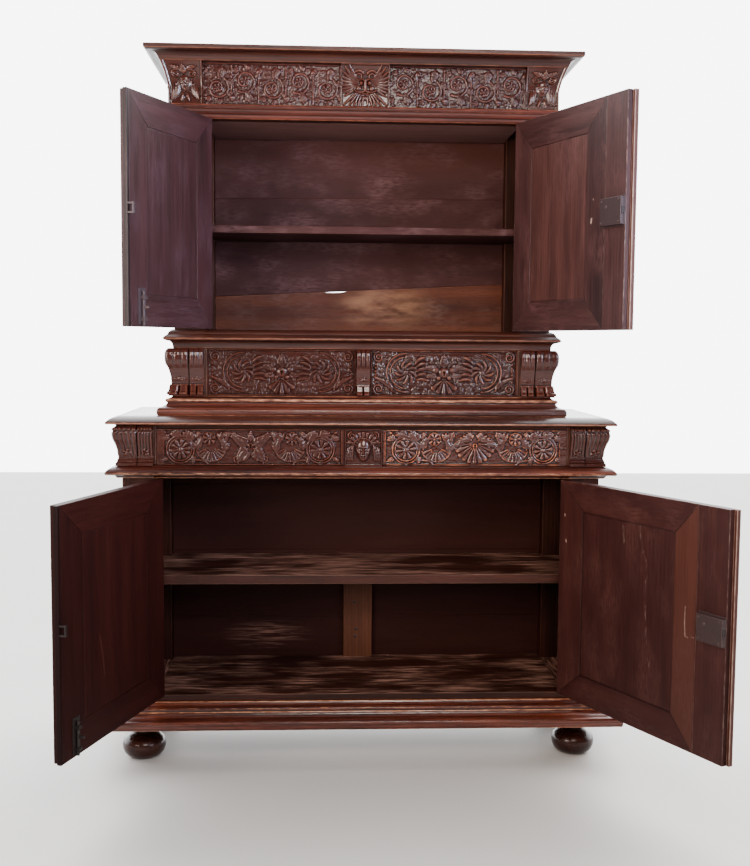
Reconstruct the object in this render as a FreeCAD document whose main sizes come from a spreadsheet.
import FreeCAD, Part
import math
import os
import Sketcher

# Carved two-body buffet, all lengths in millimetres and angles in degrees.
# X runs to the right, Y to the back and Z up.
# The origin lies on the floor under the middle of the lower body.

doc = FreeCAD.newDocument("Buffet")
sheet = doc.addObject("Spreadsheet::Sheet", "Sizes")
V = FreeCAD.Vector


class Size:
    """A number together with the expression that gives it from the sheet."""

    def __init__(self, value, text):
        self.value = float(value)
        self.text = text

    def __add__(self, other):
        other = as_size(other)
        return Size(self.value + other.value, "(" + self.text + " + " + other.text + ")")

    def __radd__(self, other):
        return as_size(other) + self

    def __sub__(self, other):
        other = as_size(other)
        return Size(self.value - other.value, "(" + self.text + " - " + other.text + ")")

    def __rsub__(self, other):
        return as_size(other) - self

    def __mul__(self, other):
        other = as_size(other)
        return Size(self.value * other.value, "(" + self.text + " * " + other.text + ")")

    def __rmul__(self, other):
        return as_size(other) * self

    def __neg__(self):
        return as_size(0) - self


def as_size(number):
    """Turn a plain number into a Size, and leave a Size as it is."""
    if isinstance(number, Size):
        return number
    return Size(number, repr(float(number)))


def slant(run, rise):
    """Length of the straight line over a run and a rise."""
    value = math.hypot(run.value, rise.value)
    return Size(value, "sqrt((" + run.text + ")^2 + (" + rise.text + ")^2)")


next_row = [1]


def size(name, value, meaning):
    """Write one named size into the sheet and hand it back."""
    row = str(next_row[0])
    next_row[0] += 1
    sheet.set("A" + row, meaning)
    sheet.set("B" + row, str(value))
    sheet.setAlias("B" + row, name)
    return Size(value, "Sizes." + name)


# Whole bodies
lower_half_width = size("lower_half_width", 689, "half width of the lower body")
lower_depth = size("lower_depth", 420, "depth of the lower body")
body_step = size("body_step", 144, "upper side in from the lower side")
upper_half_width = lower_half_width - body_step
upper_setback = size("upper_setback", 50, "upper front behind the lower front")
lower_post_width = size("lower_post_width", 89, "lower corner posts across the front")
upper_post_width = size("upper_post_width", 85, "upper corner posts across the front")
post_depth = size("post_depth", 60, "corner posts front to back")
rail_thickness = size("rail_thickness", 30, "rails behind the mouldings")
panel_setting = size("panel_setting", 18, "side panels behind the outer face of the posts")
side_panel_thickness = size("side_panel_thickness", 16, "side panels")
board_thickness = size("board_thickness", 18, "floors and back boards")
back_board_count = 4

# Feet
foot_height = size("foot_height", 120, "bun foot from floor to base")
foot_width = size("foot_width", 127, "bun foot, widest")
foot_sole = size("foot_sole", 76, "flat under a bun foot")
foot_neck = size("foot_neck", 66, "neck of a bun foot")
foot_top = size("foot_top", 82, "upper collar of a bun foot")
foot_inset = size("foot_inset", 70, "foot centre behind the front and before the back")

# Heights, in order from the floor
base_height = size("base_height", 67, "base moulding")
lower_door_height = size("lower_door_height", 633, "lower doors")
waist_height = size("waist_height", 35, "waist moulding")
lower_drawer_zone = size("lower_drawer_zone", 115, "waist moulding to table top")
table_thickness = size("table_thickness", 28, "table top")
upper_base_height = size("upper_base_height", 55, "upper base moulding")
upper_drawer_zone = size("upper_drawer_zone", 137, "upper base to drawer moulding")
drawer_moulding_height = size("drawer_moulding_height", 54, "moulding over the upper drawers")
upper_door_height = size("upper_door_height", 591, "upper doors")
frieze_moulding_height = size("frieze_moulding_height", 38, "moulding under the frieze")
frieze_height = size("frieze_height", 117, "frieze")
cornice_height = size("cornice_height", 36, "cornice")

# Projections in front of the posts
base_projection = size("base_projection", 71, "base moulding")
waist_projection = size("waist_projection", 41, "waist moulding")
table_projection = size("table_projection", 40, "moulded edge of the table top")
upper_base_projection = size("upper_base_projection", 46, "upper base moulding")
drawer_moulding_projection = size("drawer_moulding_projection", 28, "moulding over the upper drawers")
frieze_moulding_projection = size("frieze_moulding_projection", 20, "moulding under the frieze")
frieze_flare = size("frieze_flare", 32, "frieze blocks at the top")
frieze_foot = size("frieze_foot", 12, "frieze blocks at the bottom")
frieze_panel_thickness = size("frieze_panel_thickness", 8, "carved frieze panels")
cornice_projection = size("cornice_projection", 71, "cornice")
console_bulge = size("console_bulge", 23, "corner consoles at the top")
console_waist = size("console_waist", 8, "corner consoles at the narrowest")

# Shelves and prop
lower_shelf_height = size("lower_shelf_height", 340, "lower shelf above the floor board")
lower_shelf_thickness = size("lower_shelf_thickness", 27, "lower shelf")
upper_shelf_height = size("upper_shelf_height", 304, "upper shelf above the floor board")
upper_shelf_thickness = size("upper_shelf_thickness", 21, "upper shelf")
cleat_size = size("cleat_size", 22, "shelf cleats, square")
prop_half_width = size("prop_half_width", 46, "half width of the shelf prop")
prop_thickness = size("prop_thickness", 20, "shelf prop")
ceiling_gap = size("ceiling_gap", 11, "cupboard ceiling above the door tops")

# Doors
door_thickness = size("door_thickness", 26, "doors")
door_gap = size("door_gap", 2, "gap over and under the doors")
hinge_gap = size("hinge_gap", 1.5, "gap at the hinge edge")
door_seam = size("door_seam", 2, "gap where a pair of doors meets")
pilaster_half = size("pilaster_half", 42, "meeting edge to the left of the middle")
lap_width = size("lap_width", 9.5, "overlap of the right doors on the left doors")
lip_thickness = size("lip_thickness", 12, "rebated lips at the meeting edge")
lower_stile = size("lower_stile", 102, "stiles of the lower doors")
upper_stile = size("upper_stile", 84, "stiles of the upper doors")
door_rail = size("door_rail", 82, "rails of the doors")
inner_stile = size("inner_stile", 79, "stile beside the lock stile")
lower_lock_stile = size("lower_lock_stile", 100, "lock stile of the lower right door")
upper_lock_stile = size("upper_lock_stile", 84, "lock stile of the upper right door")
panel_thickness = size("panel_thickness", 12, "door panels at the edge")
panel_recess = size("panel_recess", 4, "door panels behind the inner face of the frame")
field_inset = size("field_inset", 40, "raised field inside the panel edge")
field_height = size("field_height", 7, "raised field on the outer face")
upper_left_angle = size("upper_left_angle", 114.9, "opening angle of the upper left door")
upper_right_angle = size("upper_right_angle", 113.2, "opening angle of the upper right door")
lower_left_angle = size("lower_left_angle", 108.3, "opening angle of the lower left door")
lower_right_angle = size("lower_right_angle", 116.3, "opening angle of the lower right door")

# Hinges
axis_offset = size("axis_offset", 5, "hinge axis in front of the door face")
knuckle_radius = size("knuckle_radius", 4.5, "hinge knuckles")
pin_radius = size("pin_radius", 2.3, "hinge pins")
pin_clearance = size("pin_clearance", 0.5, "room round a hinge pin")
leaf_width = size("leaf_width", 26, "hinge leaves")
leaf_thickness = size("leaf_thickness", 1.8, "hinge leaves")
knuckle_height = size("knuckle_height", 46, "each half of a hinge")
knuckle_gap = size("knuckle_gap", 0.5, "gap between the halves of a hinge")
hinge_inset = size("hinge_inset", 110, "hinge middle from the door end")

# Locks, keepers and surface bolts
lock_width = size("lock_width", 88, "lock case along the door")
lock_height = size("lock_height", 76, "lock case upright")
lock_depth = size("lock_depth", 17, "lock case thickness")
lock_wall = size("lock_wall", 3, "walls of the lock case")
lower_lock_level = size("lower_lock_level", 332, "lower lock above the door foot")
upper_lock_level = size("upper_lock_level", 296, "upper lock above the door foot")
bolt_height = size("bolt_height", 16, "lock bolt upright")
bolt_thickness = size("bolt_thickness", 7, "lock bolt thickness")
bolt_length = size("bolt_length", 56, "lock bolt")
bolt_clearance = size("bolt_clearance", 0.6, "room round a sliding bolt")
bolt_throw = size("bolt_throw", 14, "travel of the lock bolts")
keeper_leg = size("keeper_leg", 5, "keeper staple bar")
keeper_length = size("keeper_length", 9, "keeper staple along the door")
slide_height = size("slide_height", 88, "surface bolt rod")
slide_radius = size("slide_radius", 4, "surface bolt rod")
slide_throw = size("slide_throw", 12, "travel of the surface bolts")
slide_plate_width = size("slide_plate_width", 34, "surface bolt plate")
slide_plate_thickness = size("slide_plate_thickness", 1.5, "surface bolt plate")
slide_guide = size("slide_guide", 9, "guides of the surface bolt, upright")
slide_handle = size("slide_handle", 17, "finger pin of the surface bolt")
slide_rise = size("slide_rise", 3, "surface bolt rod above the door foot, drawn back")
slide_margin = size("slide_margin", 4, "surface bolt plate past the rod")
slide_wall = size("slide_wall", 2.5, "walls of the guides")
guide_inset = size("guide_inset", 12, "guides from the ends of the rod")
socket_room = size("socket_room", 2, "floor socket below a thrown bolt")

# Drawers
drawer_gap = size("drawer_gap", 2, "gap round a drawer front")
drawer_end_gap = size("drawer_end_gap", 9, "gap between drawer front and post")
drawer_front_thickness = size("drawer_front_thickness", 22, "drawer fronts")
drawer_front_proud = size("drawer_front_proud", 3, "drawer fronts before the posts")
drawer_side = size("drawer_side", 12, "drawer sides and backs")
drawer_bottom = size("drawer_bottom", 8, "drawer bottoms")
drawer_box_drop = size("drawer_box_drop", 14, "drawer box below the top of its front")
drawer_back_gap = size("drawer_back_gap", 14, "room behind a drawer")
runner_height = size("runner_height", 12, "drawer runners")
runner_clearance = size("runner_clearance", 0.5, "drawer box above its runners")
mask_half_width = size("mask_half_width", 54, "half width of the mask block")
mask_projection = size("mask_projection", 12, "mask block before the posts")
bracket_half_width = size("bracket_half_width", 20, "half width of the upper centre console")
top_rail = size("top_rail", 8, "rail over the lower drawers")
console_gap = size("console_gap", 3, "gap between neighbouring consoles")
frieze_centre_half = size("frieze_centre_half", 68, "half width of the frieze centre block")

doc.recompute()

# Levels and planes worked out from the sizes
zero = as_size(0)
front = -0.5 * lower_depth
back = 0.5 * lower_depth
upper_front = front + upper_setback
lower_opening = lower_half_width - lower_post_width
upper_opening = upper_half_width - upper_post_width

z_base = foot_height
z_floor_under = z_base + base_height
z_floor = z_floor_under + board_thickness
z_lower_door = z_floor + door_gap
z_waist = z_lower_door + lower_door_height + door_gap
z_lower_drawer = z_waist + waist_height
z_table = z_lower_drawer + lower_drawer_zone
z_upper = z_table + table_thickness
z_upper_drawer = z_upper + upper_base_height
z_drawer_moulding = z_upper_drawer + upper_drawer_zone
z_upper_floor = z_drawer_moulding + drawer_moulding_height
z_upper_door = z_upper_floor + door_gap
z_frieze_moulding = z_upper_door + upper_door_height + door_gap
z_frieze = z_frieze_moulding + frieze_moulding_height
z_cornice = z_frieze + frieze_height
z_top = z_cornice + cornice_height
z_ceiling = z_upper_door + upper_door_height + ceiling_gap

nodes = []


def bind(thing, prop, amount):
    """Bind one property to the sheet."""
    thing.setExpression(prop, as_size(amount).text)


def place(thing, x, y, z):
    """Bind the position of an object."""
    bind(thing, "Placement.Base.x", x)
    bind(thing, "Placement.Base.y", y)
    bind(thing, "Placement.Base.z", z)


def box(name, x, y, z):
    """A block; each of x, y and z is a pair of limits."""
    block = doc.addObject("Part::Box", name)
    bind(block, "Length", x[1] - x[0])
    bind(block, "Width", y[1] - y[0])
    bind(block, "Height", z[1] - z[0])
    place(block, x[0], y[0], z[0])
    return block


def rod(name, radius, height, x, y, z):
    """An upright round rod."""
    cylinder = doc.addObject("Part::Cylinder", name)
    bind(cylinder, "Radius", radius)
    bind(cylinder, "Height", height)
    place(cylinder, x, y, z)
    return cylinder


def fuse(name, pieces):
    """One solid out of several."""
    whole = doc.addObject("Part::MultiFuse", name)
    whole.Shapes = pieces
    return whole


def cut(name, base, tool):
    """The base without the tool."""
    rest = doc.addObject("Part::Cut", name)
    rest.Base = base
    rest.Tool = tool
    return rest


def common(name, base, tool):
    """What the base and the tool share."""
    shared = doc.addObject("Part::Common", name)
    shared.Base = base
    shared.Tool = tool
    return shared


def mirror(source):
    """The same piece on the other side of the middle plane."""
    other = doc.addObject("Part::Mirroring", source.Name + "_mirrored")
    other.Source = source
    other.Normal = V(1, 0, 0)
    other.Base = V(0, 0, 0)
    return other


def both_sides(pieces):
    """The pieces and their mirror images."""
    return pieces + [mirror(piece) for piece in pieces]


def node(label, pieces):
    """One sub-part: its solids grouped under one label."""
    group = doc.addObject("Part::Compound", label)
    group.Label = label
    group.Links = pieces
    nodes.append(group)
    return group


# Sketch planes: where the sketch's own first and second direction point.
FACING_FRONT = FreeCAD.Rotation(V(0, -1, 0), V(0, 0, 1), V(-1, 0, 0), "XYZ")
FACING_RIGHT = FreeCAD.Rotation(V(1, 0, 0), V(0, 0, 1), V(0, -1, 0), "XYZ")


def draw(sketch, corners):
    """Draw a closed outline through the corners and bind every corner.

    A corner is (first, second, bow); bow bends the side that starts there, as a share of its length,
    to the right of its direction when positive and to the left when negative.
    """
    count = len(corners)
    starts = []
    ends = []
    for i in range(count):
        u, v, bow = corners[i]
        w, t, unused = corners[(i + 1) % count]
        a = V(u.value, v.value, 0)
        b = V(w.value, t.value, 0)
        if bow == 0:
            sketch.addGeometry(Part.LineSegment(a, b), False)
            starts.append(1)
            ends.append(2)
            continue
        along = b - a
        middle = a + along * 0.5 + V(along.y, -along.x, 0) * bow
        if bow > 0:
            sketch.addGeometry(Part.Arc(a, middle, b), False)
            starts.append(1)
            ends.append(2)
        else:
            sketch.addGeometry(Part.Arc(b, middle, a), False)
            starts.append(2)
            ends.append(1)
    for i in range(count):
        following = (i + 1) % count
        sketch.addConstraint(Sketcher.Constraint("Coincident", i, ends[i], following, starts[following]))
    for i in range(count):
        u, v, bow = corners[i]
        for kind, amount in (("DistanceX", u), ("DistanceY", v)):
            rule = Sketcher.Constraint(kind, -1, 1, i, starts[i], amount.value)
            index = sketch.addConstraint(rule)
            bind(sketch, "Constraints[" + str(index) + "]", amount)
        if bow != 0:
            w, t, unused = corners[(i + 1) % count]
            share = abs(bow)
            radius = slant(w - u, t - v) * ((1 + 4 * share * share) / (8 * share))
            index = sketch.addConstraint(Sketcher.Constraint("Radius", i, radius.value))
            bind(sketch, "Constraints[" + str(index) + "]", radius)


def outline(name, turn, corners, x, y, z):
    """A placed sketch of a closed outline."""
    sketch = doc.addObject("Sketcher::SketchObject", name)
    sketch.Placement = FreeCAD.Placement(V(0, 0, 0), turn)
    draw(sketch, corners)
    place(sketch, x, y, z)
    return sketch


def sweep(name, sketch, direction, length):
    """Push an outline straight along a direction."""
    bar = doc.addObject("Part::Extrusion", name)
    bar.Base = sketch
    bar.DirMode = "Custom"
    bar.Dir = direction
    bar.Solid = True
    bind(bar, "LengthFwd", length)
    return bar


def wedge(name, low, high, near, far, z):
    """A block whose limits near and far along X differ at its low and high Y."""
    prism = doc.addObject("Part::Wedge", name)
    bind(prism, "Ymin", low)
    bind(prism, "Ymax", high)
    bind(prism, "Xmin", near[0])
    bind(prism, "Xmax", near[1])
    bind(prism, "X2min", far[0])
    bind(prism, "X2max", far[1])
    for prop, amount in (("Zmin", z[0]), ("Z2min", z[0]), ("Zmax", z[1]), ("Z2max", z[1])):
        bind(prism, prop, amount)
    return prism


def front_length(name, profile, reach, x, y_face, z0, height, mitres):
    """A length of moulding along the front between the limits x, mitred where asked."""
    sketch = outline(name + "_profile", FACING_FRONT, profile, x[0] - reach * mitres[0], y_face, z0)
    run = x[1] - x[0] + reach * (mitres[0] + mitres[1])
    bar = sweep(name + "_bar", sketch, V(1, 0, 0), run)
    outer = (x[0] - reach * mitres[0], x[1] + reach * mitres[1])
    room = wedge(name + "_mitre", y_face - reach, y_face, outer, x, (z0 - 1, z0 + height + 1))
    return common(name, bar, room)


def side_length(name, profile, reach, half_width, y, z0, height):
    """A length of moulding along the right side, mitred at its front end."""
    sketch = outline(name + "_profile", FACING_RIGHT, profile, half_width, y[0] - reach, z0)
    bar = sweep(name + "_bar", sketch, V(0, 1, 0), y[1] - y[0] + reach)
    room = wedge(
        name + "_mitre",
        half_width,
        half_width + reach,
        (-y[1], -y[0]),
        (-y[1], reach - y[0]),
        (z0 - 1, z0 + height + 1),
    )
    room.Placement = FreeCAD.Placement(V(0, 0, 0), FreeCAD.Rotation(V(0, 0, 1), -90))
    return common(name, bar, room)


def moulding(label, profile, reach, half_width, y_face, z0, height):
    """A moulding round the front and both sides, in three mitred lengths."""
    limits = (-half_width, half_width)
    middle = front_length(label + "_front", profile, reach, limits, y_face, z0, height, (1, 1))
    side = side_length(label + "_side", profile, reach, half_width, (y_face, back), z0, height)
    return [middle] + both_sides([side])


# Bun feet, turned
def bun_foot(name, x, y):
    """One turned foot standing on the floor."""
    body = doc.addObject("PartDesign::Body", name)
    plane = [one for one in body.Origin.OriginFeatures if one.Role == "XZ_Plane"][0]
    sketch = body.newObject("Sketcher::SketchObject", name + "_profile")
    sketch.AttachmentSupport = [(plane, "")]
    sketch.MapMode = "FlatFace"
    bulge = 0.5 * foot_width
    corners = [
        (zero, zero, 0),
        (0.5 * foot_sole, zero, 0.2),
        (bulge, 0.38 * foot_height, 0.26),
        (0.5 * foot_neck, 0.76 * foot_height, -0.12),
        (0.5 * foot_top, 0.93 * foot_height, 0),
        (0.5 * foot_top, foot_height, 0),
        (zero, foot_height, 0),
    ]
    draw(sketch, corners)
    turned = body.newObject("PartDesign::Revolution", name + "_turned")
    turned.Profile = sketch
    turned.ReferenceAxis = (sketch, ["V_Axis"])
    turned.Angle = 360
    body.Tip = turned
    place(body, x, y, zero)
    return body


foot_x = lower_half_width - 0.5 * lower_post_width
feet = []
for side_name, foot_side in (("left", -1), ("right", 1)):
    feet.append(bun_foot("foot_front_" + side_name, foot_side * foot_x, front + foot_inset))
    feet.append(bun_foot("foot_back_" + side_name, foot_side * foot_x, back - foot_inset))
node("bun_feet", feet)


# Frames of the two bodies
def posts(label, half_width, width, y_front, z):
    """Four corner posts."""
    across = (half_width - width, half_width)
    fore = box(label + "_fore", across, (y_front, y_front + post_depth), z)
    rear = box(label + "_rear", across, (back - post_depth, back), z)
    return node(label, both_sides([fore, rear]))


posts("lower_posts", lower_half_width, lower_post_width, front, (z_base, z_table))
posts("upper_posts", upper_half_width, upper_post_width, upper_front, (z_upper, z_cornice))


def side_wall(prefix, half_width, y_front, levels):
    """Right-hand rails at the given levels between the posts, and the panels between the rails."""
    inside = (y_front + post_depth, back - post_depth)
    outer = half_width - panel_setting
    rails = []
    panels = []
    for i in range(len(levels)):
        rail = (half_width - rail_thickness, half_width)
        rails.append(box(prefix + "_side_rail_" + str(i), rail, inside, levels[i]))
        if i > 0:
            between = (levels[i - 1][1], levels[i][0])
            across = (outer - side_panel_thickness, outer)
            panels.append(box(prefix + "_side_panel_" + str(i), across, inside, between))
    return rails, panels


lower_rails, lower_panels = side_wall(
    "lower",
    lower_half_width,
    front,
    [(z_base, z_floor), (z_waist, z_table)],
)
upper_rails, upper_panels = side_wall(
    "upper",
    upper_half_width,
    upper_front,
    [(z_upper, z_upper_floor), (z_frieze_moulding, z_cornice)],
)
node("side_rails", both_sides(lower_rails + upper_rails))
node("side_panels", both_sides(lower_panels + upper_panels))


def back_boards(label, half_width, z):
    """Boards one above the other between the rear posts."""
    boards = []
    step = (z[1] - z[0]) * (1.0 / back_board_count)
    for i in range(back_board_count):
        level = (z[0] + step * i, z[0] + step * (i + 1))
        depth = (back - board_thickness, back)
        boards.append(box(label + "_" + str(i), (-half_width, half_width), depth, level))
    return node(label, boards)


back_boards("lower_back_boards", lower_opening, (z_base, z_table))
back_boards("upper_back_boards", upper_opening, (z_upper, z_cornice))
back_inside = back - board_thickness


def front_rail(name, half_width, y_front, z):
    """A rail across the front between the posts."""
    return box(name, (-half_width, half_width), (y_front, y_front + rail_thickness), z)


node(
    "front_rails",
    [
        front_rail("base_rail", lower_opening, front, (z_base, z_floor_under)),
        front_rail("waist_rail", lower_opening, front, (z_waist, z_lower_drawer)),
        front_rail("table_rail", lower_opening, front, (z_table - top_rail, z_table)),
        front_rail("foot_rail", upper_opening, upper_front, (z_upper, z_upper_drawer)),
        front_rail(
            "drawer_rail", upper_opening, upper_front, (z_drawer_moulding, z_upper_floor - board_thickness)
        ),
        front_rail("frieze_rail", upper_opening, upper_front, (z_frieze_moulding, z_cornice)),
    ],
)


def floor_boards(label, opening, wall, y_front, z):
    """A floor between the posts, filled out to the side walls between them."""
    inside = (y_front + post_depth, back - post_depth)
    main = box(label + "_main", (-opening, opening), (y_front, back_inside), z)
    wing = box(label + "_wing", (opening, wall), inside, z)
    return [main] + both_sides([wing])


lower_wall = lower_half_width - panel_setting - side_panel_thickness
upper_wall = upper_half_width - panel_setting - side_panel_thickness
lower_rail_face = lower_half_width - rail_thickness
upper_rail_face = upper_half_width - rail_thickness


def bolt_hole(name, board, x, y, z_board_top):
    """The board with a socket for a surface bolt."""
    drop = slide_throw + socket_room
    socket = rod(name + "_socket", slide_radius + bolt_clearance, drop, x, y, z_board_top - drop)
    return cut(name, board, socket)


# Hinge axes and the places of the surface bolts
lower_axis_y = front - axis_offset
upper_axis_y = upper_front - axis_offset
door_inner = axis_offset + door_thickness
slide_y = door_inner + slide_plate_thickness + slide_radius + bolt_clearance
left_end = pilaster_half + lap_width + door_seam
lower_slide_x = lower_opening - left_end - 0.58 * lower_stile
upper_slide_x = upper_opening - left_end - 0.58 * upper_stile

lower_floor = floor_boards("lower_floor", lower_opening, lower_rail_face, front, (z_floor_under, z_floor))
lower_floor[0] = bolt_hole(
    "lower_floor_bored",
    lower_floor[0],
    lower_slide_x - lower_opening,
    lower_axis_y + slide_y,
    z_floor,
)
node("lower_floor", lower_floor)
upper_floor = floor_boards(
    "upper_floor",
    upper_opening,
    upper_rail_face,
    upper_front,
    (z_upper_floor - board_thickness, z_upper_floor),
)
upper_floor[0] = bolt_hole(
    "upper_floor_bored",
    upper_floor[0],
    upper_slide_x - upper_opening,
    upper_axis_y + slide_y,
    z_upper_floor,
)
node("upper_floor", upper_floor)


def shelf(label, opening, wall, y_front, z):
    """A shelf behind the front posts, out to the side panels, and between the rear posts."""
    wide = box(label + "_wide", (-wall, wall), (y_front + post_depth, back - post_depth), z)
    rear = box(label + "_rear", (-opening, opening), (back - post_depth, back_inside), z)
    return node(label, [wide, rear])


z_lower_shelf = z_floor + lower_shelf_height
z_upper_shelf = z_upper_floor + upper_shelf_height
lower_shelf_under = z_lower_shelf - lower_shelf_thickness
upper_shelf_under = z_upper_shelf - upper_shelf_thickness
shelf("lower_shelf", lower_opening, lower_wall, front, (lower_shelf_under, z_lower_shelf))
shelf("upper_shelf", upper_opening, upper_wall, upper_front, (upper_shelf_under, z_upper_shelf))
cleats = [
    box(
        "lower_cleat",
        (lower_wall - cleat_size, lower_wall),
        (front + post_depth, back - post_depth),
        (lower_shelf_under - cleat_size, lower_shelf_under),
    ),
    box(
        "upper_cleat",
        (upper_wall - cleat_size, upper_wall),
        (upper_front + post_depth, back - post_depth),
        (upper_shelf_under - cleat_size, upper_shelf_under),
    ),
]
node(
    "shelf_prop",
    [
        box(
            "prop",
            (-prop_half_width, prop_half_width),
            (back_inside - prop_thickness, back_inside),
            (z_floor, lower_shelf_under),
        )
    ],
)
# Mouldings: each profile is listed as (out from the post, up from its foot, bow of the next side).
p = base_projection
h = base_height
base_profile = [
    (zero, zero, 0),
    (0.96 * p, zero, 0),
    (p, 0.1 * h, 0),
    (p, 0.2 * h, 0.3),
    (0.84 * p, 0.42 * h, 0),
    (0.76 * p, 0.42 * h, -0.2),
    (0.5 * p, 0.66 * h, 0),
    (0.44 * p, 0.66 * h, 0.3),
    (0.34 * p, 0.84 * h, 0),
    (0.28 * p, 0.84 * h, -0.15),
    (0.14 * p, h, 0),
    (zero, h, 0),
]
node("base_moulding", moulding("base_moulding", base_profile, p, lower_half_width, front, z_base, h))

p = waist_projection
h = waist_height
waist_profile = [
    (zero, zero, 0),
    (0.3 * p, zero, -0.2),
    (0.86 * p, 0.3 * h, 0),
    (p, 0.34 * h, 0.25),
    (0.98 * p, 0.62 * h, 0.12),
    (0.3 * p, 0.94 * h, 0),
    (0.2 * p, h, 0),
    (zero, h, 0),
]
node("waist_moulding", moulding("waist_moulding", waist_profile, p, lower_half_width, front, z_waist, h))

p = table_projection
h = table_thickness
table_profile = [
    (zero, zero, 0),
    (0.35 * p, zero, -0.2),
    (0.88 * p, 0.16 * h, 0),
    (p, 0.2 * h, 0.25),
    (0.97 * p, 0.44 * h, 0.1),
    (0.04 * p, h, 0),
    (zero, h, 0),
]
table = moulding("table_edge", table_profile, p, lower_half_width, front, z_table, h)
slab = box("table_slab", (-lower_half_width, lower_half_width), (front, back), (z_table, z_upper))
node("table_top", [slab] + table)

p = upper_base_projection
h = upper_base_height
upper_base_profile = [
    (zero, zero, 0),
    (0.94 * p, zero, 0.12),
    (p, 0.2 * h, 0.18),
    (0.82 * p, 0.42 * h, -0.16),
    (0.4 * p, 0.66 * h, 0),
    (0.46 * p, 0.68 * h, 0.3),
    (0.46 * p, 0.86 * h, -0.15),
    (0.12 * p, h, 0),
    (zero, h, 0),
]
upper_base = moulding(
    "upper_base_moulding", upper_base_profile, p, upper_half_width, upper_front, z_upper, h
)
node("upper_base_moulding", upper_base)

p = drawer_moulding_projection
h = drawer_moulding_height
drawer_moulding_profile = [
    (zero, zero, 0),
    (0.14 * p, zero, 0),
    (0.16 * p, 0.16 * h, -0.2),
    (0.7 * p, 0.4 * h, 0),
    (p, 0.46 * h, 0.25),
    (0.97 * p, 0.6 * h, 0),
    (0.06 * p, h, 0),
    (zero, h, 0),
]
drawer_moulding = moulding(
    "drawer_moulding", drawer_moulding_profile, p, upper_half_width, upper_front, z_drawer_moulding, h
)
node("drawer_moulding", drawer_moulding)

p = frieze_moulding_projection
h = frieze_moulding_height
frieze_moulding_profile = [
    (zero, zero, 0),
    (0.35 * p, zero, 0.15),
    (0.5 * p, 0.3 * h, 0),
    (0.62 * p, 0.34 * h, 0.2),
    (0.84 * p, 0.66 * h, 0),
    (p, 0.7 * h, 0.2),
    (p, h, 0),
    (zero, h, 0),
]
frieze_moulding = moulding(
    "frieze_moulding", frieze_moulding_profile, p, upper_half_width, upper_front, z_frieze_moulding, h
)
node("frieze_moulding", frieze_moulding)

p = cornice_projection
h = cornice_height
cornice_profile = [
    (zero, zero, 0),
    (frieze_flare, zero, 0),
    (frieze_flare + 2, 0.12 * h, -0.22),
    (0.86 * p, 0.56 * h, 0),
    (0.94 * p, 0.62 * h, 0.1),
    (p, 0.68 * h, 0),
    (p, h, 0),
    (zero, h, 0),
]
node("cornice", moulding("cornice", cornice_profile, p, upper_half_width, upper_front, z_cornice, h))


# Consoles: scrolled brackets, the outer one carried round the corner of the post
def console_profile(height):
    """Outline of a scrolled bracket."""
    return [
        (zero, zero, 0),
        (0.7 * console_bulge, zero, 0),
        (0.7 * console_bulge, 0.08 * height, 0),
        (0.5 * console_bulge, 0.1 * height, 0),
        (console_waist, 0.24 * height, -0.1),
        (0.86 * console_bulge, 0.66 * height, 0.2),
        (console_bulge, 0.86 * height, 0.3),
        (0.66 * console_bulge, height, 0),
        (zero, height, 0),
    ]


def corner_consoles(label, half_width, post_width, y_face, z0, height):
    """Two brackets on the post front and one round the corner, on both sides."""
    profile = console_profile(height)
    each = 0.5 * (post_width - console_gap)
    inner = (half_width - post_width, half_width - post_width + each)
    outer = (half_width - each, half_width)
    pieces = [
        front_length(label + "_inner", profile, console_bulge, inner, y_face, z0, height, (0, 0)),
        front_length(label + "_outer", profile, console_bulge, outer, y_face, z0, height, (0, 1)),
        side_length(label + "_side", profile, console_bulge, half_width, (y_face, y_face + each), z0, height),
    ]
    return node(label, both_sides(pieces))


corner_consoles(
    "lower_consoles",
    lower_half_width,
    lower_post_width,
    front,
    z_lower_drawer,
    lower_drawer_zone,
)
corner_consoles(
    "upper_consoles",
    upper_half_width,
    upper_post_width,
    upper_front,
    z_upper_drawer,
    upper_drawer_zone,
)
centre_limits = (-bracket_half_width, bracket_half_width)
bracket_profile = console_profile(upper_drawer_zone)
node(
    "centre_console",
    [
        front_length(
            "centre_bracket",
            bracket_profile,
            console_bulge,
            centre_limits,
            upper_front,
            z_upper_drawer,
            upper_drawer_zone,
            (0, 0),
        ),
        box(
            "centre_bracket_post",
            centre_limits,
            (upper_front, upper_front + rail_thickness),
            (z_upper_drawer, z_drawer_moulding),
        ),
    ],
)
node(
    "mask_block",
    [
        box(
            "mask_block_body",
            (-mask_half_width, mask_half_width),
            (front - mask_projection, front + rail_thickness),
            (z_lower_drawer, z_table - top_rail),
        )
    ],
)

# Frieze: flared corner blocks and centre block, flat panels between and along the sides
frieze_profile = [
    (zero, zero, 0),
    (frieze_foot, zero, 0),
    (frieze_foot, 0.45 * frieze_height, -0.1),
    (frieze_flare, frieze_height, 0),
    (zero, frieze_height, 0),
]
block_in = upper_opening
block_limits = (block_in, upper_half_width)
centre_block = (-frieze_centre_half, frieze_centre_half)
frieze_blocks = [
    front_length(
        "frieze_corner_front",
        frieze_profile,
        frieze_flare,
        block_limits,
        upper_front,
        z_frieze,
        frieze_height,
        (0, 1),
    ),
    side_length(
        "frieze_corner_side",
        frieze_profile,
        frieze_flare,
        upper_half_width,
        (upper_front, upper_front + upper_post_width),
        z_frieze,
        frieze_height,
    ),
]
node("frieze_corner_blocks", both_sides(frieze_blocks))
node(
    "frieze_centre_block",
    [
        front_length(
            "frieze_centre",
            frieze_profile,
            frieze_flare,
            centre_block,
            upper_front,
            z_frieze,
            frieze_height,
            (0, 0),
        )
    ],
)
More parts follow.
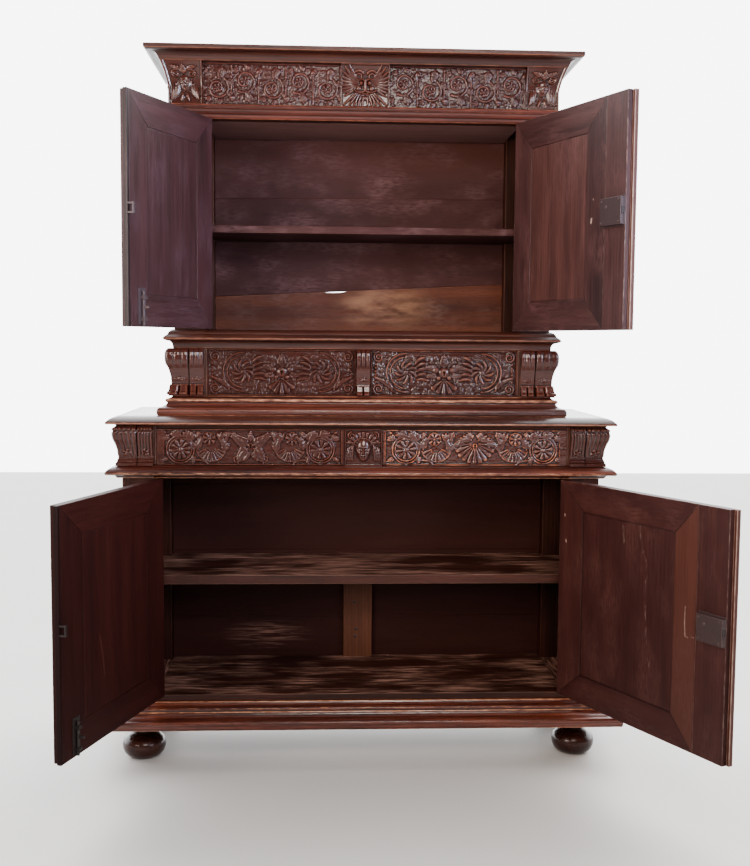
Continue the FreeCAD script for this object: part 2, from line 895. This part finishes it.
frieze_level = (z_frieze, z_cornice)
frieze_panel = box(
    "frieze_panel",
    (frieze_centre_half, block_in),
    (upper_front - frieze_panel_thickness, upper_front),
    frieze_level,
)
frieze_side_panel = box(
    "frieze_side_panel",
    (upper_half_width, upper_half_width + frieze_panel_thickness),
    (upper_front + upper_post_width, back),
    frieze_level,
)
node("frieze_panels", both_sides([frieze_panel, frieze_side_panel]))


# Drawers, with their runners and guides
def drawer(prefix, x, y_front, z, depth_end):
    """One drawer between the limits x and z: carved front, two sides, back and bottom."""
    face = y_front - drawer_front_proud
    behind = face + drawer_front_thickness
    node(prefix + "_front", [box(prefix + "_face", x, (face, behind), z)])
    inset = 2 * drawer_gap
    left = x[0] + inset
    right = x[1] - inset
    low = z[0] + runner_clearance
    high = z[1] - drawer_box_drop
    end = depth_end - drawer_back_gap
    floor_z = (low, low + drawer_bottom)
    wall_z = (low + drawer_bottom, high)
    pieces = [
        box(prefix + "_bottom", (left, right), (behind, end), floor_z),
        box(prefix + "_side_a", (left, left + drawer_side), (behind, end), wall_z),
        box(prefix + "_side_b", (right - drawer_side, right), (behind, end), wall_z),
        box(prefix + "_back", (left + drawer_side, right - drawer_side), (end - drawer_side, end), wall_z),
    ]
    node(prefix + "_box", pieces)


def runners(name, limits, y, z_top):
    """Two runners under a drawer, near its ends."""
    pieces = []
    width = rail_thickness
    for i, start in ((0, limits[0]), (1, limits[1] - width)):
        level = (z_top - runner_height, z_top)
        pieces.append(box(name + "_" + str(i), (start, start + width), y, level))
    return pieces


lower_drawer_x = (mask_half_width + drawer_gap, lower_opening - drawer_end_gap)
lower_drawer_z = (z_lower_drawer + drawer_gap, z_table - top_rail - drawer_gap)
upper_drawer_x = (bracket_half_width + drawer_gap, upper_opening - drawer_end_gap)
upper_drawer_z = (z_upper_drawer + drawer_gap, z_drawer_moulding - drawer_gap)
for prefix, x, y_front, z in (
    ("lower_right_drawer", lower_drawer_x, front, lower_drawer_z),
    ("lower_left_drawer", (-lower_drawer_x[1], -lower_drawer_x[0]), front, lower_drawer_z),
    ("upper_right_drawer", upper_drawer_x, upper_front, upper_drawer_z),
    ("upper_left_drawer", (-upper_drawer_x[1], -upper_drawer_x[0]), upper_front, upper_drawer_z),
):
    drawer(prefix, x, y_front, z, back_inside)

runner_y = (front + rail_thickness, back_inside)
upper_runner_y = (upper_front + rail_thickness, back_inside)
lower_runner_x = (lower_drawer_x[0] + drawer_gap, lower_opening)
upper_runner_x = (upper_drawer_x[0] + drawer_gap, upper_opening)
guide_half = 0.5 * bracket_half_width
runner_pieces = runners("lower_runner", lower_runner_x, runner_y, lower_drawer_z[0])
runner_pieces += runners("upper_runner", upper_runner_x, upper_runner_y, upper_drawer_z[0])
guides = [
    box(
        "lower_guide",
        (-guide_half, guide_half),
        runner_y,
        (z_lower_drawer, z_table - top_rail),
    ),
    box(
        "upper_guide",
        (-guide_half, guide_half),
        upper_runner_y,
        (z_upper_drawer, z_drawer_moulding),
    ),
]
node("runners_and_cleats", both_sides(runner_pieces + cleats) + guides)
node(
    "dust_boards",
    [
        box(
            "lower_dust_board",
            (-lower_opening, lower_opening),
            runner_y,
            (z_waist, z_lower_drawer + drawer_gap - runner_height),
        ),
        box(
            "upper_dust_board",
            (-upper_opening, upper_opening),
            upper_runner_y,
            (z_upper, z_upper_drawer + drawer_gap - runner_height),
        ),
        box(
            "ceiling",
            (-upper_opening, upper_opening),
            (upper_front + rail_thickness, back_inside),
            (z_ceiling, z_ceiling + board_thickness),
        ),
        box(
            "top_board",
            (-upper_half_width, upper_half_width),
            (upper_front, back),
            (z_cornice, z_cornice + board_thickness),
        ),
    ],
)


# Doors are drawn shut, with the hinge axis upright through their own origin, and then turned open.
class Door:
    """One door: its side (-1 left, 1 right), its limits and the pieces fixed to it."""

    def __init__(self, name, side, opening, y_axis, z_foot, height, stile, angle):
        self.name = name
        self.side = side
        self.opening = opening
        self.y_axis = y_axis
        self.z = (z_foot, z_foot + height)
        self.stile = stile
        self.angle = angle
        if side < 0:
            self.end = opening - left_end
            self.tip = opening - pilaster_half - door_seam
        else:
            self.end = opening + pilaster_half
            self.tip = opening + pilaster_half + lap_width

    def span(self, a, b):
        """Limits along X for distances a to b from the hinge axis."""
        if self.side < 0:
            return (a, b)
        return (-b, -a)

    def box(self, name, along, y, z):
        """A block between two distances along the door."""
        return box(self.name + "_" + name, self.span(along[0], along[1]), y, z)

    def hang(self, label, pieces):
        """One sub-part of the door, swung open on the hinge axis."""
        group = node(self.name + "_" + label, pieces)
        axis = V(0, 0, self.side)
        group.Placement = FreeCAD.Placement(V(0, 0, 0), FreeCAD.Rotation(axis, self.angle.value))
        bind(group, "Placement.Rotation.Angle", self.angle)
        place(group, self.side * self.opening, self.y_axis, zero)
        return group

    def member(self, name, corners, y):
        """A flat frame member through four corners (distance along, height)."""
        points = [(a * (-self.side), z - self.z[0], 0) for a, z in corners]
        sketch = outline(self.name + "_" + name + "_outline", FACING_RIGHT, points, zero, y[1], self.z[0])
        return sweep(self.name + "_" + name, sketch, V(0, -1, 0), y[1] - y[0])

    def frame(self, lock_stile):
        """Mitred frame of four members, the lip at the meeting edge and any lock stile."""
        thick = (axis_offset, door_inner)
        a = hinge_gap
        b = self.end - lock_stile
        last = inner_stile if self.side > 0 else self.stile
        z0, z1 = self.z
        inner = (a + self.stile, b - last)
        rails = (z0 + door_rail, z1 - door_rail)
        pieces = [
            self.member("hinge_stile", [(a, z0), (inner[0], rails[0]), (inner[0], rails[1]), (a, z1)], thick),
            self.member("free_stile", [(b, z0), (b, z1), (inner[1], rails[1]), (inner[1], rails[0])], thick),
            self.member("foot_rail", [(a, z0), (b, z0), (inner[1], rails[0]), (inner[0], rails[0])], thick),
            self.member("head_rail", [(a, z1), (inner[0], rails[1]), (inner[1], rails[1]), (b, z1)], thick),
        ]
        if self.side > 0:
            pieces.append(self.box("lock_stile", (b, self.end), thick, self.z))
            lap = (axis_offset, axis_offset + lip_thickness)
        else:
            lap = (door_inner - lip_thickness, door_inner)
        pieces.append(self.box("lip", (self.end, self.tip), lap, self.z))
        self.hang("frame", [fuse(self.name + "_frame_whole", pieces)])
        self.panel(inner, rails)

    def panel(self, along, upright):
        """Panel with a raised and bevelled field on the outer face."""
        y_back = door_inner - panel_recess
        flat = self.box("panel_flat", along, (y_back - panel_thickness, y_back), upright)
        inset = field_inset
        field = (along[0] + inset, along[1] - inset)
        level = (upright[0] + inset, upright[1] - inset)
        crown = wedge(
            self.name + "_panel_field",
            y_back - panel_thickness - field_height,
            y_back - panel_thickness,
            self.span(field[0], field[1]),
            self.span(field[0] - 2 * field_height, field[1] + 2 * field_height),
            level,
        )
        bind(crown, "Z2min", level[0] - 2 * field_height)
        bind(crown, "Z2max", level[1] + 2 * field_height)
        self.hang("panel", [fuse(self.name + "_panel_whole", [flat, crown])])

    def hinges(self):
        """Door halves of the two hinges; the post halves come back for the fixed body."""
        leaves = []
        posts_halves = []
        for level, middle in (("low", self.z[0] + hinge_inset), ("high", self.z[1] - hinge_inset)):
            name = self.name + "_hinge_" + level
            bottom = middle + 0.5 * knuckle_gap
            leaf_y = (axis_offset - leaf_thickness, axis_offset)
            upper = (bottom, bottom + knuckle_height)
            lower = (middle - 0.5 * knuckle_gap - knuckle_height, middle - 0.5 * knuckle_gap)
            barrel = rod(name + "_barrel", knuckle_radius, knuckle_height, zero, zero, bottom)
            leaf = self.box("leaf_" + level, (zero, leaf_width), leaf_y, upper)
            bore = rod(name + "_bore", pin_radius + pin_clearance, knuckle_height + 2, zero, zero, bottom - 1)
            leaves.append(cut(name + "_leaf", fuse(name + "_plate", [barrel, leaf]), bore))
            axis_x = self.side * self.opening
            stub = rod(name + "_stub", knuckle_radius, knuckle_height, axis_x, self.y_axis, lower[0])
            pin_length = 2 * knuckle_height + knuckle_gap
            pin = rod(name + "_pin", pin_radius, pin_length, axis_x, self.y_axis, lower[0])
            if self.side < 0:
                across = (axis_x - leaf_width, axis_x)
            else:
                across = (axis_x, axis_x + leaf_width)
            flat_y = (self.y_axis + leaf_y[0], self.y_axis + leaf_y[1])
            plate = box(name + "_post_leaf", across, flat_y, lower)
            posts_halves.append(fuse(name + "_post_half", [stub, pin, plate]))
        self.hang("hinges", leaves)
        return posts_halves

    def lock(self, level):
        """Lock case on the inner face, open for its bolt, and the bolt drawn back."""
        middle = self.z[0] + level
        along = (self.end - lock_width, self.end)
        y0 = door_inner
        bolt_y = (y0 + 0.5 * (lock_depth - bolt_thickness), y0 + 0.5 * (lock_depth + bolt_thickness))
        bolt_z = (middle - 0.5 * bolt_height, middle + 0.5 * bolt_height)
        half = 0.5 * lock_height
        room = (bolt_z[0] - bolt_clearance, bolt_z[1] + bolt_clearance)
        slot_y = (bolt_y[0] - bolt_clearance, bolt_y[1] + bolt_clearance)
        whole = (middle - half, middle + half)
        pieces = [
            self.box("lock_back", along, (y0, slot_y[0]), whole),
            self.box("lock_cover", along, (slot_y[1], y0 + lock_depth), whole),
            self.box("lock_low", along, slot_y, (whole[0], room[0])),
            self.box("lock_high", along, slot_y, (room[1], whole[1])),
            self.box("lock_heel", (along[0], along[0] + lock_wall), slot_y, room),
        ]
        self.hang("lock_case", pieces)
        reach = (self.end - bolt_length, self.end)
        self.hang("lock_bolt", [self.box("bolt", reach, bolt_y, bolt_z)])

    def keeper(self, level):
        """Staple on the inner face that takes the lock bolt: two legs and a bridge."""
        middle = self.z[0] + level
        y0 = door_inner
        along = (self.tip - keeper_length, self.tip)
        clear = 0.5 * bolt_height + 2 * bolt_clearance
        bolt_back = y0 + 0.5 * (lock_depth + bolt_thickness)
        bridge_y = (bolt_back + 2 * bolt_clearance, y0 + lock_depth)
        leg_y = (y0, bridge_y[1])
        pieces = [
            self.box("keeper_low", along, leg_y, (middle - clear - keeper_leg, middle - clear)),
            self.box("keeper_high", along, leg_y, (middle + clear, middle + clear + keeper_leg)),
            self.box("keeper_bridge", along, bridge_y, (middle - clear, middle + clear)),
        ]
        self.hang("keeper", pieces)

    def surface_bolt(self, x):
        """Plate with two guides, and the sliding rod with its finger pin."""
        foot = self.z[0] + slide_rise
        rod_z = (foot, foot + slide_height)
        plate_y = (door_inner, door_inner + slide_plate_thickness)
        half = 0.5 * slide_plate_width
        plate_z = (foot + slide_margin, foot + slide_height + 2 * slide_margin)
        room = slide_radius + bolt_clearance
        wall = slide_wall
        pieces = [self.box("bolt_plate", (x - half, x + half), plate_y, plate_z)]
        guide_y = (plate_y[1], plate_y[1] + 2 * room)
        low_guide = foot + guide_inset
        high_guide = foot + slide_height - guide_inset - slide_guide
        for tag, low in (("low", low_guide), ("high", high_guide)):
            level = (low, low + slide_guide)
            pieces.append(self.box("guide_near_" + tag, (x - room - wall, x - room), guide_y, level))
            pieces.append(self.box("guide_far_" + tag, (x + room, x + room + wall), guide_y, level))
            bridge = (guide_y[1], guide_y[1] + wall)
            pieces.append(self.box("guide_bridge_" + tag, (x - room - wall, x + room + wall), bridge, level))
        self.hang("bolt_guides", pieces)
        centre = x * (-self.side)
        shaft = rod(self.name + "_bolt_shaft", slide_radius, slide_height, centre, slide_y, rod_z[0])
        grip_z = foot + 0.5 * slide_height
        grip = self.box(
            "bolt_grip",
            (x - 0.75 * slide_radius, x + 0.75 * slide_radius),
            (slide_y, slide_y + slide_handle),
            (grip_z, grip_z + 1.5 * slide_radius),
        )
        self.hang("slide_bolt", [fuse(self.name + "_bolt_rod", [shaft, grip])])


upper_left = Door(
    "upper_left_door",
    -1,
    upper_opening,
    upper_axis_y,
    z_upper_door,
    upper_door_height,
    upper_stile,
    upper_left_angle,
)
upper_right = Door(
    "upper_right_door",
    1,
    upper_opening,
    upper_axis_y,
    z_upper_door,
    upper_door_height,
    upper_stile,
    upper_right_angle,
)
lower_left = Door(
    "lower_left_door",
    -1,
    lower_opening,
    lower_axis_y,
    z_lower_door,
    lower_door_height,
    lower_stile,
    lower_left_angle,
)
lower_right = Door(
    "lower_right_door",
    1,
    lower_opening,
    lower_axis_y,
    z_lower_door,
    lower_door_height,
    lower_stile,
    lower_right_angle,
)
hinge_halves = []
for door, lock_stile in (
    (upper_left, zero),
    (upper_right, upper_lock_stile),
    (lower_left, zero),
    (lower_right, lower_lock_stile),
):
    door.frame(lock_stile)
    hinge_halves += door.hinges()
node("hinge_pins", hinge_halves)
upper_right.lock(upper_lock_level)
lower_right.lock(lower_lock_level)
upper_left.keeper(upper_lock_level)
lower_left.keeper(lower_lock_level)
upper_left.surface_bolt(upper_slide_x)
lower_left.surface_bolt(lower_slide_x)

doc.recompute()

faults = []
for thing in doc.Objects:
    if "Invalid" in thing.State or "Error" in thing.State:
        faults.append(thing.Name + " is " + ", ".join(thing.State))
for group in nodes:
    shape = group.Shape
    if shape.isNull() or not shape.isValid() or not shape.Solids:
        faults.append(group.Label + " has no valid shape")
if faults:
    raise RuntimeError("; ".join(faults))

os.makedirs("parts", exist_ok=True)
for group in nodes:
    group.Shape.exportStep("parts/" + group.Label + ".step")
print(len(nodes), "sub-parts written")
